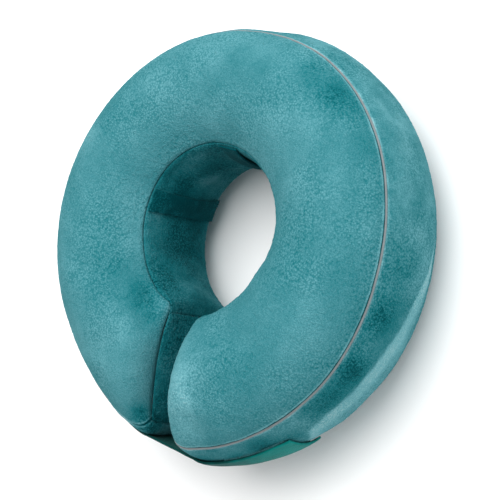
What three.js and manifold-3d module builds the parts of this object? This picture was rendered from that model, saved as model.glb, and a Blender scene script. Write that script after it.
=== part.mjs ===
// Inflatable recovery collar for a pet: a C-shaped padded ring that lies on its back panel.
// Units are millimetres. Z is the neck axis, and the split between the two ends faces -Y.

import * as THREE from 'three';
import { mergeVertices } from 'three/addons/utils/BufferGeometryUtils.js';
import Module from 'manifold-3d';

// Ring
const rimSeamRadius = 142;
const neckSeamRadius = 58;
const rimWallHeight = 62;
const neckWallHeight = 67;
const frontCrown = 22.5;
const backCrown = 22.5;
const neckShoulder = 25;
const rimShoulder = 18;
const rimBulge = 8;
const neckBulge = 3.5;
const backRimInset = 3;
const restFlattening = 3.5;

// Ends at the split
const splitGap = 25;
const endRound = 22;
const rightRimCorner = 15;
const leftRimCorner = 8;
const rimCornerDrop = 8;
const neckCorner = 7;
const endPillow = 4.5;
const endFullness = 0.22;

// Materials and joints
const plushWall = 2.2;
const seamGap = 0.3;
const pipingRadius = 1.5;
const chamberFilm = 1;
const chamberClearance = 0.9;
const valveHoleRadius = 4;
const valveAngle = -125;

// Bands on the neck wall: the angle of each from +X, and how far its middle hangs off the wall
const sideLoopSlack = 1;
const topLoopSlack = 4.5;
const loopPlaces = {
  collar_loop_left: { angle: 170, slack: sideLoopSlack },
  collar_loop_top: { angle: 92, slack: topLoopSlack },
};
const loopWidth = 18;
const loopThickness = 1.4;
const loopClearance = 0.6;

// Closure strap: lengths run along the rim from the middle of the split
const strapWidth = 38;
const strapThickness = 1.5;
const strapSewnLength = 50;
const strapFreeLength = 107;
const strapBridgeAngle = 10;
const patchLength = 50;
const patchWidth = 30;
const patchThickness = 1;

// Form of the ring from the right end round to the left end, in equal steps of angle.
// rim and neck are shares of the seam radii that each seam moves outwards there,
// and fullness is the share by which the crowns rise above their nominal height.
const ringForm = [
  { rim: 0.038, neck: 0.01, fullness: 0.02 },
  { rim: 0.014, neck: -0.04, fullness: 0 },
  { rim: 0.012, neck: -0.06, fullness: 0.02 },
  { rim: 0, neck: 0, fullness: 0 },
  { rim: 0, neck: 0.01, fullness: 0.01 },
  { rim: -0.01, neck: 0.01, fullness: 0 },
  { rim: -0.025, neck: 0.02, fullness: -0.01 },
  { rim: -0.01, neck: 0.05, fullness: 0 },
  { rim: 0.004, neck: 0.055, fullness: 0.01 },
  { rim: 0.01, neck: 0.035, fullness: 0 },
  { rim: -0.01, neck: -0.01, fullness: 0.01 },
  { rim: -0.02, neck: -0.035, fullness: -0.03 },
  { rim: 0.022, neck: -0.05, fullness: -0.05 },
];

// Facets: steps round each end, along the ring, across a crowned panel and across a side wall
const coverSteps = { roundingSteps: 6, ringSteps: 36, panelSteps: 8, wallSteps: 4 };
const chamberSteps = { roundingSteps: 4, ringSteps: 24, panelSteps: 4, wallSteps: 2 };
const pipingSides = 8;
const strapSteps = { alongSteps: 20, acrossSteps: 4 };
const patchSteps = { alongSteps: 5, acrossSteps: 4 };
const loopSteps = { alongSteps: 6, acrossSteps: 4 };

// A cubic curve whose two middle points rise by one stands this high at its middle
const curveRiseShare = 0.75;
const ringLength = Math.PI * (rimSeamRadius + neckSeamRadius);
const fullTurn = 2 * Math.PI;
const mix = THREE.MathUtils.lerp;
const clamp = THREE.MathUtils.clamp;

// How far a rounded edge has come up, from 0 at its foot to 1 at its full height
function roundOver(distance, length) {
  const share = clamp(distance / length, 0, 1);
  return Math.sqrt(1 - (1 - share) ** 2);
}

const formCurve = new THREE.CatmullRomCurve3(
  ringForm.map((row) => new THREE.Vector3(row.rim, row.neck, row.fullness)),
  false,
  'catmullrom',
);

// What changes along the ring, at a share of the way from the right end to the left end
function formAt(share) {
  const row = formCurve.getPoint(clamp(share, 0, 1));
  const fromEnd = Math.min(share, 1 - share) * ringLength;
  const corner = share < 0.5 ? rightRimCorner : leftRimCorner;
  const rise = mix(endFullness, 1, roundOver(fromEnd, endRound));
  return {
    share,
    rimShift: row.x * rimSeamRadius,
    neckShift: row.y * neckSeamRadius,
    rimPull: corner * (1 - roundOver(fromEnd, corner)),
    neckPull: neckCorner * (1 - roundOver(fromEnd, neckCorner)),
    rimDrop: rimCornerDrop * (1 - roundOver(fromEnd, endRound)),
    crown: rise * (1 + row.z),
    bulge: rise,
  };
}

// The four curves of a section, as radius and height over the middle plane, in order round it
function sectionCurves(form) {
  const front = (frontCrown / curveRiseShare) * form.crown;
  const back = (backCrown / curveRiseShare) * form.crown;
  const outwards = (rimBulge / curveRiseShare) * form.bulge;
  const inwards = (neckBulge / curveRiseShare) * form.bulge;
  const rimTop = rimWallHeight / 2 - form.rimDrop;
  const neckTop = neckWallHeight / 2;
  const backRim = rimSeamRadius - backRimInset;
  const curve = (...pairs) =>
    new THREE.CubicBezierCurve(...pairs.map(([radius, height]) => new THREE.Vector2(radius, height)));
  return {
    front: curve(
      [neckSeamRadius, neckTop],
      [neckSeamRadius + neckShoulder, neckTop + front],
      [rimSeamRadius - rimShoulder, rimTop + front],
      [rimSeamRadius, rimTop],
    ),
    rim: curve(
      [rimSeamRadius, rimTop],
      [rimSeamRadius + outwards, rimTop / 2],
      [backRim + outwards, -rimTop / 2],
      [backRim, -rimTop],
    ),
    back: curve(
      [backRim, -rimTop],
      [backRim - rimShoulder, -rimTop - back],
      [neckSeamRadius + neckShoulder, -neckTop - back],
      [neckSeamRadius, -neckTop],
    ),
    neck: curve(
      [neckSeamRadius, -neckTop],
      [neckSeamRadius - inwards, -neckTop / 2],
      [neckSeamRadius - inwards, neckTop / 2],
      [neckSeamRadius, neckTop],
    ),
  };
}

const fullSection = sectionCurves({ crown: 1, bulge: 1, rimDrop: 0 });

// The plane that the back panel rests on: its crown, less what the weight flattens
const backDepths = fullSection.back.getPoints(2 * coverSteps.panelSteps).map((point) => -point.y);
const restHeight = restFlattening - Math.max(...backDepths);

// The end planes are parallel to YZ, so the ring starts at a larger angle close to the neck
function angleAt(share, radius) {
  const endAngle = Math.asin(splitGap / 2 / radius);
  return mix(endAngle, fullTurn - endAngle, share) - fullTurn / 4;
}

function shareAt(angle, radius) {
  const endAngle = Math.asin(splitGap / 2 / radius);
  return (angle + fullTurn / 4 - endAngle) / (fullTurn - 2 * endAngle);
}

// A point of a section in space
function placePoint(point, form) {
  const outward = (point.x - neckSeamRadius) / (rimSeamRadius - neckSeamRadius);
  const neckMove = form.neckShift + form.neckPull;
  const rimMove = form.rimShift - form.rimPull;
  const radius = point.x + mix(neckMove, rimMove, clamp(outward, 0, 1));
  const angle = angleAt(form.share, radius);
  const height = Math.max(point.y, restHeight);
  return new THREE.Vector3(radius * Math.cos(angle), radius * Math.sin(angle), height);
}

// Shares along the ring: close together where the ends round over, then even
function stationShares(steps) {
  const roundShare = endRound / ringLength;
  const rounding = Array.from({ length: steps.roundingSteps }, (_, step) => {
    const turn = (step / steps.roundingSteps) * (fullTurn / 4);
    return roundShare * (1 - Math.cos(turn));
  });
  const middle = Array.from({ length: steps.ringSteps + 1 }, (_, step) =>
    mix(roundShare, 1 - roundShare, step / steps.ringSteps),
  );
  return [...rounding, ...middle, ...rounding.map((share) => 1 - share).reverse()];
}

// A grid of points: rows along the ring, columns in the order of the section
function gridOf(rows, columns, pointAt) {
  return Array.from({ length: rows }, (_, row) =>
    Array.from({ length: columns }, (__, column) => pointAt(row, column)),
  );
}

// The outside of the cover as one closed surface, with the grid of point numbers of each panel
function coverSurface(steps) {
  const points = [];
  const add = (point) => points.push(point) - 1;
  const { panelSteps, wallSteps } = steps;
  const sideSteps = { front: panelSteps, rim: wallSteps, back: panelSteps, neck: wallSteps };
  const loopSize = 2 * (panelSteps + wallSteps);
  const ring = stationShares(steps).map((share) => {
    const form = formAt(share);
    const loop = Object.entries(sectionCurves(form)).flatMap(([side, curve]) =>
      curve.getPoints(sideSteps[side]).slice(0, -1),
    );
    return loop.map((point) => add(placePoint(point, form)));
  });
  const panels = {};
  let start = 0;
  for (const [side, count] of Object.entries(sideSteps)) {
    const first = start;
    panels[side] = gridOf(ring.length, count + 1, (row, step) => ring[row][(first + step) % loopSize]);
    start += count;
  }
  panels.right = endPatch(steps, panels, 0, -endPillow, points, add).map((row) => row.reverse());
  panels.left = endPatch(steps, panels, ring.length - 1, endPillow, points, add);
  return { points, panels };
}

// A padded end: a patch between the four sides of the last section, with a pillowed middle
function endPatch(steps, panels, station, pillow, points, add) {
  const top = panels.front[station];
  const bottom = panels.back[station].slice().reverse();
  const inner = panels.neck[station];
  const outer = panels.rim[station].slice().reverse();
  return gridOf(steps.panelSteps + 1, steps.wallSteps + 1, (across, up) => {
    if (across === 0) return inner[up];
    if (across === steps.panelSteps) return outer[up];
    if (up === 0) return bottom[across];
    if (up === steps.wallSteps) return top[across];
    const s = across / steps.panelSteps;
    const t = up / steps.wallSteps;
    const shares = [
      [bottom[across], 1 - t],
      [top[across], t],
      [inner[up], 1 - s],
      [outer[up], s],
      [bottom[0], -(1 - s) * (1 - t)],
      [bottom[steps.panelSteps], -s * (1 - t)],
      [top[0], -(1 - s) * t],
      [top[steps.panelSteps], -s * t],
    ];
    const point = new THREE.Vector3();
    shares.forEach(([index, share]) => point.addScaledVector(points[index], share));
    point.x += pillow * Math.sqrt(Math.sin(Math.PI * s) * Math.sin(Math.PI * t));
    return add(point);
  });
}

// The four corners of each facet of a grid, anticlockwise seen from outside
function facets(grid) {
  return grid.slice(1).flatMap((next, row) =>
    next.slice(1).map((corner, column) => [
      grid[row][column],
      grid[row][column + 1],
      corner,
      next[column],
    ]),
  );
}

// The surface moved inwards by a depth: each point goes along the mean direction of its facets,
// far enough for the facets themselves to lie that deep
function insetPoints(surface, depth) {
  const { points, panels } = surface;
  const around = points.map(() => []);
  for (const corners of Object.values(panels).flatMap(facets)) {
    const [a, b, c, d] = corners.map((index) => points[index]);
    const across = new THREE.Vector3().subVectors(c, a);
    const along = new THREE.Vector3().subVectors(d, b);
    const outward = across.cross(along).normalize();
    corners.forEach((index) => around[index].push(outward));
  }
  return points.map((point, index) => {
    const mean = around[index].reduce((sum, outward) => sum.add(outward), new THREE.Vector3());
    const reach = mean.length() / around[index].length;
    return point.clone().addScaledVector(mean.normalize(), -depth / reach);
  });
}

// A closed body from points and polygons with their corners in order
function bodyGeometry(points, polygons) {
  const geometry = new THREE.BufferGeometry();
  const positions = new Float32Array(points.flatMap((point) => point.toArray()));
  const index = polygons.flatMap((corners) =>
    corners.slice(2).flatMap((corner, step) => [corners[0], corners[step + 1], corner]),
  );
  geometry.setAttribute('position', new THREE.BufferAttribute(positions, 3));
  geometry.setIndex(index);
  geometry.computeVertexNormals();
  return geometry;
}

// A sheet with thickness, between an outer and an inner grid of points
function sheetGeometry(outer, inner) {
  const rows = outer.length;
  const columns = outer[0].length;
  const outerIndex = gridOf(rows, columns, (row, column) => row * columns + column);
  const innerIndex = outerIndex.map((row) => row.map((index) => index + rows * columns));
  const edge = (grid) => [
    ...grid[0],
    ...grid.slice(1, -1).map((row) => row[columns - 1]),
    ...grid[rows - 1].slice().reverse(),
    ...grid.slice(1, -1).map((row) => row[0]).reverse(),
  ];
  const outerEdge = edge(outerIndex);
  const innerEdge = edge(innerIndex);
  const rim = outerEdge.map((index, step) => {
    const next = (step + 1) % outerEdge.length;
    return [outerEdge[next], index, innerEdge[step], innerEdge[next]];
  });
  return bodyGeometry(
    [...outer.flat(), ...inner.flat()],
    [...facets(outerIndex), ...facets(innerIndex).map((corners) => corners.reverse()), ...rim],
  );
}

// A grid with its edges drawn in along the sheet, the columns' edges by a width for each row
function trimEdges(grid, rowTrim, firstTrim, lastTrim) {
  const trimmed = grid.map((row) => row.map((point) => point.clone()));
  const draw = (point, towards, distance) =>
    point.add(new THREE.Vector3().subVectors(towards, point).setLength(distance));
  trimmed[0].forEach((point, column) => draw(point, grid[1][column], rowTrim));
  trimmed.at(-1).forEach((point, column) => draw(point, grid.at(-2)[column], rowTrim));
  trimmed.forEach((row, station) => {
    draw(row[0], row[1], firstTrim(station));
    draw(row.at(-1), row.at(-2), lastTrim(station));
  });
  return trimmed;
}

const collar = new THREE.Group();

const plush = { color: 0x3f8f96, roughness: 0.95, metalness: 0 };
const webbing = { color: 0x0b7d76, roughness: 0.7, metalness: 0 };
const cord = { color: 0xb9bcbe, roughness: 0.6, metalness: 0 };
const hookTape = { color: 0x1f5f66, roughness: 0.9, metalness: 0 };
const film = { color: 0xd8dde0, roughness: 0.35, metalness: 0 };

function addPiece(name, geometry, finish) {
  const piece = new THREE.Mesh(geometry, new THREE.MeshStandardMaterial(finish));
  piece.name = name;
  collar.add(piece);
}

// Plush panels, drawn back at the piped seam to leave room for the cord
const cover = coverSurface(coverSteps);
const coverInside = insetPoints(cover, plushWall);
const lastStation = cover.panels.front.length - 1;
const plainSeam = () => seamGap / 2;
const pipedSeam = (station) =>
  station === 0 || station === lastStation ? seamGap / 2 : pipingRadius + seamGap;

function addPanel(name, grid, firstSeam, lastSeam) {
  const sheetOf = (points) => {
    const placed = grid.map((row) => row.map((index) => points[index]));
    return trimEdges(placed, seamGap / 2, firstSeam, lastSeam);
  };
  addPiece(name, sheetGeometry(sheetOf(cover.points), sheetOf(coverInside)), plush);
}

addPanel('front_panel', cover.panels.front, plainSeam, pipedSeam);
addPanel('rim_wall', cover.panels.rim, pipedSeam, plainSeam);
addPanel('back_panel', cover.panels.back, plainSeam, plainSeam);
addPanel('neck_wall', cover.panels.neck, plainSeam, plainSeam);
addPanel('left_end_panel', cover.panels.left, plainSeam, plainSeam);
addPanel('right_end_panel', cover.panels.right, plainSeam, plainSeam);

// Piping: a round cord along the seam, half sunk between the two panels
function pipingGeometry() {
  const seam = cover.panels.front.slice(1, -1).map((row) => cover.points[row.at(-1)]);
  const points = seam.flatMap((point, station) => {
    const before = seam[Math.max(station - 1, 0)];
    const after = seam[Math.min(station + 1, seam.length - 1)];
    const along = new THREE.Vector3().subVectors(after, before).normalize();
    const up = new THREE.Vector3(0, 0, 1);
    const side = new THREE.Vector3().crossVectors(along, up).normalize();
    up.crossVectors(side, along);
    return Array.from({ length: pipingSides }, (_, step) => {
      const turn = (step / pipingSides) * fullTurn;
      return point
        .clone()
        .addScaledVector(up, pipingRadius * Math.cos(turn))
        .addScaledVector(side, pipingRadius * Math.sin(turn));
    });
  });
  const rings = gridOf(seam.length, pipingSides + 1, (row, step) => {
    return row * pipingSides + (step % pipingSides);
  });
  const firstEnd = rings[0].slice(0, -1).reverse();
  const lastEnd = rings.at(-1).slice(0, -1);
  return bodyGeometry(points, [...facets(rings), firstEnd, lastEnd]);
}

addPiece('piping', pipingGeometry(), cord);

// A band laid on a surface: surfaceAt gives a point and the outward direction there
function bandGeometry(steps, standOff, thickness, surfaceAt) {
  const layer = (height) =>
    gridOf(steps.alongSteps + 1, steps.acrossSteps + 1, (row, column) => {
      const { point, outward, lift } = surfaceAt(row / steps.alongSteps, column / steps.acrossSteps);
      return point.addScaledVector(outward, height + lift);
    });
  return sheetGeometry(layer(standOff + thickness), layer(standOff));
}

// Bands across the neck wall, sewn into its two seams
function addCollarLoop(name, { angle, slack }) {
  const middle = shareAt(THREE.MathUtils.degToRad(angle), neckSeamRadius);
  const halfShare = loopWidth / 2 / (fullTurn * neckSeamRadius);
  const seamEnd = seamGap / neckWallHeight;
  const surfaceAt = (along, across) => {
    const form = formAt(mix(middle - halfShare, middle + halfShare, across));
    const curve = sectionCurves(form).neck;
    const point = placePoint(curve.getPoint(mix(1 - seamEnd, seamEnd, along)), form);
    const outward = new THREE.Vector3(-point.x, -point.y, 0).normalize();
    return { point, outward, lift: slack * Math.sin(Math.PI * along) };
  };
  addPiece(name, bandGeometry(loopSteps, loopClearance, loopThickness, surfaceAt), webbing);
}

Object.entries(loopPlaces).forEach(([name, place]) => addCollarLoop(name, place));

// A place on the rim wall, by its angle from the middle of the split
function wallPlace(turn, width, across) {
  const angle = turn - fullTurn / 4;
  const share = shareAt(turn < 0 ? angle + fullTurn : angle, rimSeamRadius);
  const form = formAt(clamp(share, 0, 1));
  const curve = sectionCurves(form).rim;
  const section = curve.getPointAt(0.5 + ((across - 0.5) * width) / curve.getLength());
  const reach = section.x + form.rimShift - form.rimPull;
  return new THREE.Vector3(reach * Math.cos(angle), reach * Math.sin(angle), section.y);
}

// A place under the strap, by the length along the rim from the middle of the split. Over the
// split, and where an end rounds away from it, the strap runs straight from end to end.
function strapPlace(length, width, across) {
  const turn = length / (rimSeamRadius + rimBulge);
  const bridgeTurn = THREE.MathUtils.degToRad(strapBridgeAngle);
  const wall = wallPlace(turn, width, across);
  const from = wallPlace(-bridgeTurn, width, across);
  const to = wallPlace(bridgeTurn, width, across);
  const bridge = from.lerp(to, clamp((turn / bridgeTurn + 1) / 2, 0, 1));
  const outward = new THREE.Vector3(Math.sin(turn), -Math.cos(turn), 0);
  const bridged = Math.abs(turn) < bridgeTurn && bridge.dot(outward) > wall.dot(outward);
  return { point: bridged ? bridge : wall, outward };
}

// The strap lies on the wall at its sewn end and on the fastener patch at its free end
const patchLift = patchThickness + seamGap;

addPiece(
  'closure_strap',
  bandGeometry(strapSteps, seamGap, strapThickness, (along, across) => {
    const length = mix(-strapSewnLength, strapFreeLength, along);
    const lift = patchLift * THREE.MathUtils.smoothstep(length, -strapSewnLength, 0);
    return { ...strapPlace(length, strapWidth, across), lift };
  }),
  webbing,
);

addPiece(
  'fastener_patch',
  bandGeometry(patchSteps, seamGap, patchThickness, (along, across) => {
    const margin = (strapWidth - patchWidth) / 2;
    const length = strapFreeLength - margin - patchLength * (1 - along);
    return { ...strapPlace(length, patchWidth, across), lift: 0 };
  }),
  hookTape,
);

// Air chamber: a thin hollow skin just inside the cover, open at its valve hole
const wasm = await Module();
wasm.setup();

function solidOf(geometry) {
  const vertProperties = geometry.getAttribute('position').array;
  const triVerts = new Uint32Array(geometry.getIndex().array);
  return new wasm.Manifold(new wasm.Mesh({ numProp: 3, vertProperties, triVerts }));
}

function chamberGeometry() {
  const surface = coverSurface(chamberSteps);
  const polygons = Object.values(surface.panels).flatMap(facets);
  const skin = (depth) => solidOf(bodyGeometry(insetPoints(surface, depth), polygons));
  const filmDepth = plushWall + chamberClearance;
  const valve = new THREE.CylinderGeometry(valveHoleRadius, valveHoleRadius, 4 * filmDepth, 12);
  const turn = THREE.MathUtils.degToRad(valveAngle);
  const middle = (rimSeamRadius + neckSeamRadius) / 2;
  valve.rotateX(fullTurn / 4);
  valve.translate(middle * Math.cos(turn), middle * Math.sin(turn), restHeight + filmDepth);
  const hole = mergeVertices(valve.deleteAttribute('normal').deleteAttribute('uv'));
  const hollow = skin(filmDepth).subtract(skin(filmDepth + chamberFilm)).subtract(solidOf(hole));
  const mesh = hollow.getMesh();
  const geometry = new THREE.BufferGeometry();
  geometry.setAttribute('position', new THREE.BufferAttribute(mesh.vertProperties, 3));
  geometry.setIndex(new THREE.BufferAttribute(mesh.triVerts, 1));
  geometry.computeVertexNormals();
  return geometry;
}

addPiece('air_chamber', chamberGeometry(), film);

// The origin is the middle of the footprint, on the surface that the collar lies on
const box = new THREE.Box3().setFromObject(collar);
const centre = box.getCenter(new THREE.Vector3());
collar.position.set(-centre.x, -centre.y, -box.min.z);

export default collar;
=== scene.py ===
"""Inflatable recovery collar: the plush cover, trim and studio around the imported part."""

import math

import bmesh
import bpy
import numpy as np
from bpy.props import FloatProperty, FloatVectorProperty, PointerProperty
from mathutils import Matrix, Vector, kdtree, noise


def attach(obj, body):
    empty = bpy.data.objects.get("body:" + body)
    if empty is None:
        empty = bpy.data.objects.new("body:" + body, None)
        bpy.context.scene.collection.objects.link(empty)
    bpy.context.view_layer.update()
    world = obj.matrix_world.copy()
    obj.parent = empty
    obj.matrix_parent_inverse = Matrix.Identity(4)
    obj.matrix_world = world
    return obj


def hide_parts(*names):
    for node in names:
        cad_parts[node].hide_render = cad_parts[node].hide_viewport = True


bl_info = {
    "name": "Recovery Collar",
    "version": (1, 0, 0),
    "blender": (4, 5, 0),
    "location": "3D View > Sidebar > Collar",
    "description": "Dresses an inflatable plush recovery collar and its studio",
    "category": "Add Mesh",
}

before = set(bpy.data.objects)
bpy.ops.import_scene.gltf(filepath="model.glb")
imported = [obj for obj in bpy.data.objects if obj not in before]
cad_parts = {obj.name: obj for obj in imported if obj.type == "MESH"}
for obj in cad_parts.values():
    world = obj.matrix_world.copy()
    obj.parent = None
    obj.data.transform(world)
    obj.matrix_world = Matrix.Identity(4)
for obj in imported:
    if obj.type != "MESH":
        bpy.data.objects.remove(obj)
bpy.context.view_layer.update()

MM = 0.001
FULL_TURN = 2 * math.pi
QUARTER_TURN = FULL_TURN / 4

# Sizes of the ring in millimetres, as the part's source has them
RIM_SEAM_RADIUS = 142
NECK_SEAM_RADIUS = 58
RIM_WALL_HEIGHT = 62
NECK_WALL_HEIGHT = 67
CROWN = 22.5
NECK_SHOULDER = 25
RIM_SHOULDER = 18
RIM_BULGE = 8
NECK_BULGE = 3.5
BACK_RIM_INSET = 3
REST_FLATTENING = 3.5
SPLIT_GAP = 25
END_ROUND = 22
RIM_CORNER_RIGHT = 15
RIM_CORNER_LEFT = 8
RIM_CORNER_DROP = 8
NECK_CORNER = 7
END_PILLOW = 4.5
RING_LENGTH = math.pi * (RIM_SEAM_RADIUS + NECK_SEAM_RADIUS)

# The share of the crowns and bulges that is left at the two ends, and the share of the way
# to its middle corners that the curve of a side rises
END_FULLNESS = 0.22
CURVE_RISE = 0.75

# Form of the ring from the right end round to the left end, in equal steps of angle:
# the shares of the seam radii by which the rim and the neck move out, and of the crown
RING_FORM = np.array([
    # rim, neck, fullness
    (0.038, 0.01, 0.02),
    (0.014, -0.04, 0),
    (0.012, -0.06, 0.02),
    (0, 0, 0),
    (0, 0.01, 0.01),
    (-0.01, 0.01, 0),
    (-0.025, 0.02, -0.01),
    (-0.01, 0.05, 0),
    (0.004, 0.055, 0.01),
    (0.01, 0.035, 0),
    (-0.01, -0.01, 0.01),
    (-0.02, -0.035, -0.03),
    (0.022, -0.05, -0.05),
])

# From the middle of the footprint to the neck axis at mid height, in millimetres
NECK_AXIS = Vector((0.5856, 3.4858, 51.25))

# Bands across the neck wall: angle of each from +X in degrees, how far its middle stands
# off in millimetres, how far it leans from end to end in degrees, and its shade
NECK_BANDS = {
    "collar_loop_left": (170, 0.4, -5, -1.2),
    "collar_loop_top": (92, 1.5, 0, -1.4),
}
BAND_WIDTH = 18
BAND_THICKNESS = 1.4
BAND_CLEARANCE = 0.6
BAND_EDGE_DROP = 0.35
BAND_END_SHARE = 0.004
BAND_MOTTLE = 0.4
BAND_MOTTLE_GRAIN = 8

# Closure strap: its middle line lies a little below the middle of the rim wall. From its
# sewn end to the split it lifts off the wall, and stays so, to clear the fastener patch
STRAP_WIDTH = 38
STRAP_THICKNESS = 1.5
STRAP_SEWN_LENGTH = 50
STRAP_FREE_LENGTH = 107
STRAP_BRIDGE_ANGLE = 10
STRAP_CLEARANCE = 0.3
STRAP_EDGE_DROP = 0.3
STRAP_LIFT = 0.9
STRAP_DROP = 4.5
STRAP_RIPPLE = 0.4
STRAP_RIPPLE_GRAIN = 26
# Beyond the first length from the split the strap has its own colour, and over the second
# one it darkens towards the split: painted shadow, where the collar's two ends shade it
STRAP_BRIGHT_LENGTH = 85
STRAP_SHADE_LENGTH = 45

# Rounding of the cut edges of the bands and the strap
CUT_EDGE = 0.35

# How far the middle of the piping stands out of its seam, and how much deeper it sinks
# near the left end, from one share of the ring's length over another
CORD_RISE = -0.45
CORD_DIP = 2.5
CORD_DIP_START = 0.955
CORD_DIP_RUN = 0.02
CORD_SWAY = 0.3
CORD_SWAY_GRAIN = 22

# Order of the panels round a section, with the parameter running from neck to rim,
# down the rim, back to the neck and up the neck wall
SIDES = ("front", "rim", "back", "neck")
PANEL_NODES = {
    "front": "front_panel",
    "rim": "rim_wall",
    "back": "back_panel",
    "neck": "neck_wall",
    "left": "left_end_panel",
    "right": "right_end_panel",
}

# Where the pile is darker or lighter, partly for its nap and partly as painted light and
# shade: a painted shadow in the hollow at the left end's tip, painted highlights along the
# ring's left side and over the right end, and painted shade in the neck and on the rim wall
# towards the right end. Angle in degrees and radius in millimetres round the neck axis,
# height over mid height, spread, and shade (dark below zero)
NAP_AND_PAINTED_LIGHT_MARKS = np.array([
    # angle, radius, height, spread, shade
    (63, 131, 43, 11, -0.4),
    (53, 133, 41, 12, -0.5),
    (46, 135, 39, 11, -0.4),
    (34, 135, 36, 12, -0.35),
    (89, 116, 51, 9, -0.3),
    (74, 118, 50, 10, -0.2),
    (-96.5, 133, 32, 8, -0.8),
    (-96, 143, 18, 8, -1.3),
    (2, 147, 16, 13, -0.35),
    (-10, 148, 18, 14, -0.8),
    (-23, 148, 20, 13, -1.0),
    (-31, 148, 20, 12, -0.9),
    (-39, 148, 20, 12, -0.7),
    (-48, 150, 14, 9, -0.6),
    (-57, 149, 17, 12, -0.9),
    (-66, 149, 12, 9, -0.8),
    (-76, 148, 14, 11, -0.9),
    (42, 146, 14, 30, 0.2),
    (70, 143, 10, 26, 0.2),
    (-94, 139, 22, 5, -1.2),
    (-120, 64, 41, 12, -0.45),
    (-106, 72, 44, 10, -0.5),
    (-130, 74, 48, 16, -0.3),
    (-150, 76, 50, 18, -0.2),
    (-110, 108, 53, 20, 0.3),
    (-47, 128, 46, 22, -0.3),
    (-43, 148, 18, 12, 0.5),
    (-29, 146, 18, 10, 0.35),
    (-122, 118, 52, 26, 0.2),
    (-74, 118, 51, 27, 0.4),
    (-71, 100, 54, 22, 0.3),
    (-151, 135, 40, 26, 0.3),
    (165, 135, 40, 30, 0.2),
    (28, 84, 52, 24, 0.2),
    (120, 112, 54, 30, 0.15),
    (-175, 56, -4, 17, -0.6),
    (-158, 54, 0, 14, -0.3),
    (130, 58, 6, 12, -0.3),
    (143, 58, -2, 12, 0.45),
    (-120, 53, 4, 12, 0.3),
    (108, 57, 22, 12, -0.2),
    (128, 58, 24, 10, 0.3),
    (154, 58, 12, 10, -0.5),
])

# Lower part of the rim wall near the right end, painted light: a painted sheen highlight
# where the wall turns away at a grazing angle. Angle in degrees and the height over mid
# height of the painted band's upper edge
SHEEN_BAND_EDGE = np.array([
    # angle, height
    (-60, -30),
    (-50, -8),
    (-44, 10),
    (-35.5, 12.5),
    (-27.5, 10),
    (-15, 3.5),
    (-6, -3),
    (10, -20),
    (20, -40),
])
SHEEN_BAND_SOFTNESS = 2.2
SHEEN_BAND_SHADE = 1.1
# Further below that edge it fades, from a share of this reach on
SHEEN_BAND_REACH = 28
SHEEN_BAND_FADE_START = 0.4
SHEEN_BAND_FADE = 3
SHEEN_BAND_WAVER = 2.0
SHEEN_BAND_WAVER_GRAIN = 14

# The shade of each panel's pile, partly its nap and partly painted light and shade: the neck
# wall and the left end painted darker as they face away from the light, the right end painted
# lighter as it faces it; and how blotchy that shade is
PANEL_NAP_AND_PAINTED_LIGHT = {"front": 0.0, "rim": 0.0, "back": 0.0, "neck": -0.62, "left": -0.7, "right": 0.5}
MOTTLES = {"front": 0.05, "rim": 0.55, "back": 0.05, "neck": 0.5, "left": 0.5, "right": 0.05}
DARKEST_SHADE = -1
LIGHTEST_SHADE = 0.8

# Noise that makes the shades ragged: size across, seed, and strength
RAGGED = ((13, 0.0, 0.6), (5, 5.0, 0.4))

# Edges of panels that meet flat, without a rolled seam, by their place in seam_distances,
# and the distance by which they are taken to lie further from the seam
FLAT_SEAMS = {"neck": (2, 3), "left": (2,), "right": (2,)}
FLAT_SEAM = 6

# Beside the piping: pale pile with a painted highlight on the rolled edges, and the painted
# shadow of the seam's groove on the front panel's side
LINT_HIGHLIGHT_DISTANCE = 1.6
LINT_HIGHLIGHT_SPREAD = 0.8
LINT_HIGHLIGHT_SHADE = 1.1
GROOVE_DISTANCE = 1.3
GROOVE_WIDTH = 0.6
GROOVE_SHADE = -2.5

# Dents pressed into the cover: angle, radius and height as above, spread, and depth
DENTS = np.array([
    # angle, radius, height, spread, depth
    (-120, 61, 38, 8, 2.2),
    (-106, 74, 45, 10, 2.8),
    (-99, 62, 36, 4, 1.6),
    (-97, 128, 34, 8, 1.0),
])

# Gathers beside the seams and tufts of the pile: size across, reach of the gathers from a
# seam, and the distance from it over which both start
GATHER_GRAIN = 6.5
GATHER_REACH = 9
GATHER_START = 1.5
TUFT_GRAIN = 2.6
TUFT_START = 2

# How fine the finished meshes are: stations round each end and along the ring between them,
# steps across the front, back, rim and neck panels, and how even those steps are
COVER_STATIONS = (14, 480)
PANEL_STEPS = 64
PANEL_EVENNESS = 0.3
WALL_STEPS = 38
WALL_EVENNESS = 0.4
CORD_STATIONS = (10, 420)
CORD_SIDES = 16
BAND_ROWS = 61
BAND_COLUMNS = 15
STRAP_ROWS = 150
STRAP_COLUMNS = 27

# The coarse cover for the cloth simulation, and how its swell is read
BLANK_STATIONS = (4, 170)
BLANK_PANEL_STEPS = 24
BLANK_WALL_STEPS = 16
BLOW_UP_FRAMES = 20
EVEN_OUT_ROUNDS = 4
SWELL_POINTS = 9
SWELL_SPREAD = 5.0

# Lights: size of each across, and its place from the neck axis, along the picture's right,
# its up and the way to the camera, in metres
KEY_SIZE = 1.6
KEY_PLACE = Vector((-0.62, 0.75, 1.0))
FILL_SIZE = 1.2
FILL_PLACE = Vector((0.5, 0.2, 1.2))

# Reach of the floor from its middle in metres, and the camera's sensor in millimetres
FLOOR_REACH = 3.0
SENSOR_WIDTH = 36


def clamp(value):
    return np.clip(value, 0.0, 1.0)


def mix(start, end, share):
    return start + (end - start) * share


def round_over(distance, length):
    """How far a rounded edge has come up, from 0 at its foot to 1 at its full height."""
    return np.sqrt(1 - (1 - clamp(distance / length)) ** 2)


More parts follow.
